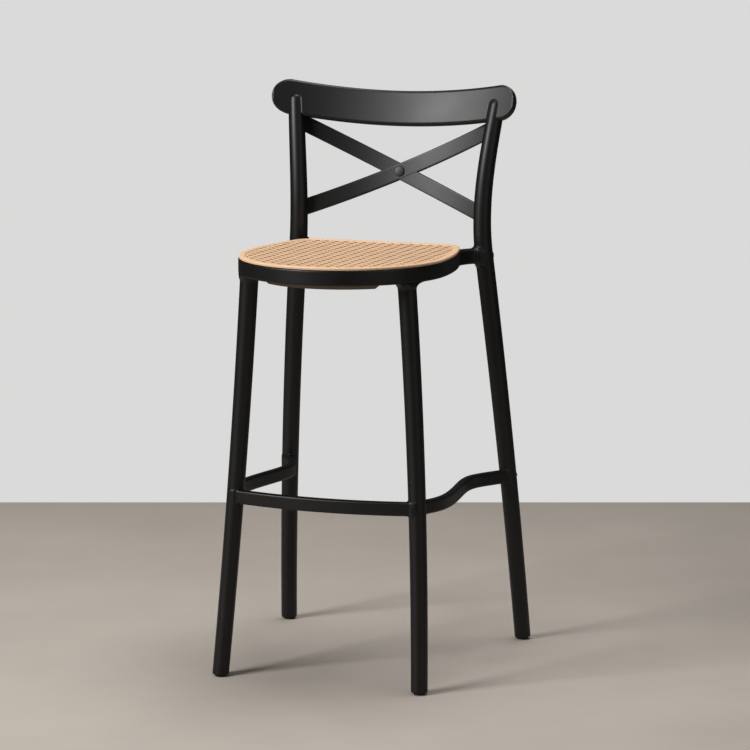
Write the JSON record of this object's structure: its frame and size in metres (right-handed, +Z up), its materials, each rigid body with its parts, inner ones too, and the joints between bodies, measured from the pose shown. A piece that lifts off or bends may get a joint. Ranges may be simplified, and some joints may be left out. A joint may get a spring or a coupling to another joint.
{
  "type": "bar stool with footrest",
  "caption": "Tall cross-back stool with a round-fronted panelled seat, curved top rail, splayed round legs and a footrest that runs round the front and sides.",
  "frame": {"origin": "on the floor, at the bottom centre of the whole stool's bounding box", "axes": "+X to the right seen from the front, -Y the way a sitter faces, +Z up"},
  "size_m": [0.5154, 0.539, 1.0707],
  "materials": {
    "black_plastic": "satin moulded black with a fine grain",
    "beige_plastic": "beige moulding with a cane-like weave relief",
    "glide_plastic": "hard dark plastic",
    "zinc_steel": "zinc-plated fasteners",
    "brass_insert": "threaded inserts"
  },
  "bodies": {
    "root": {"crest_rail": "black_plastic", "crest_screws": "zinc_steel", "cross_brace": "black_plastic", "cross_button": "black_plastic", "foot_glide_front_left": "glide_plastic", "foot_glide_front_right": "glide_plastic", "foot_glide_rear_left": "glide_plastic", "foot_glide_rear_right": "glide_plastic", "footrest_screws": "zinc_steel", "front_footrest_rail": "black_plastic", "front_leg_bolts": "zinc_steel", "front_leg_inserts": "brass_insert", "front_leg_left": "black_plastic", "front_leg_right": "black_plastic", "rear_arm_inserts": "brass_insert", "rear_bolt_cap_left": "black_plastic", "rear_bolt_cap_right": "black_plastic", "rear_leg_bolts": "zinc_steel", "rear_leg_left": "black_plastic", "rear_leg_right": "black_plastic", "seat_panel": "beige_plastic", "seat_panel_screws": "zinc_steel", "seat_ring": "black_plastic", "side_footrest_rail_left": "black_plastic", "side_footrest_rail_right": "black_plastic"}
  },
  "joints": []
}
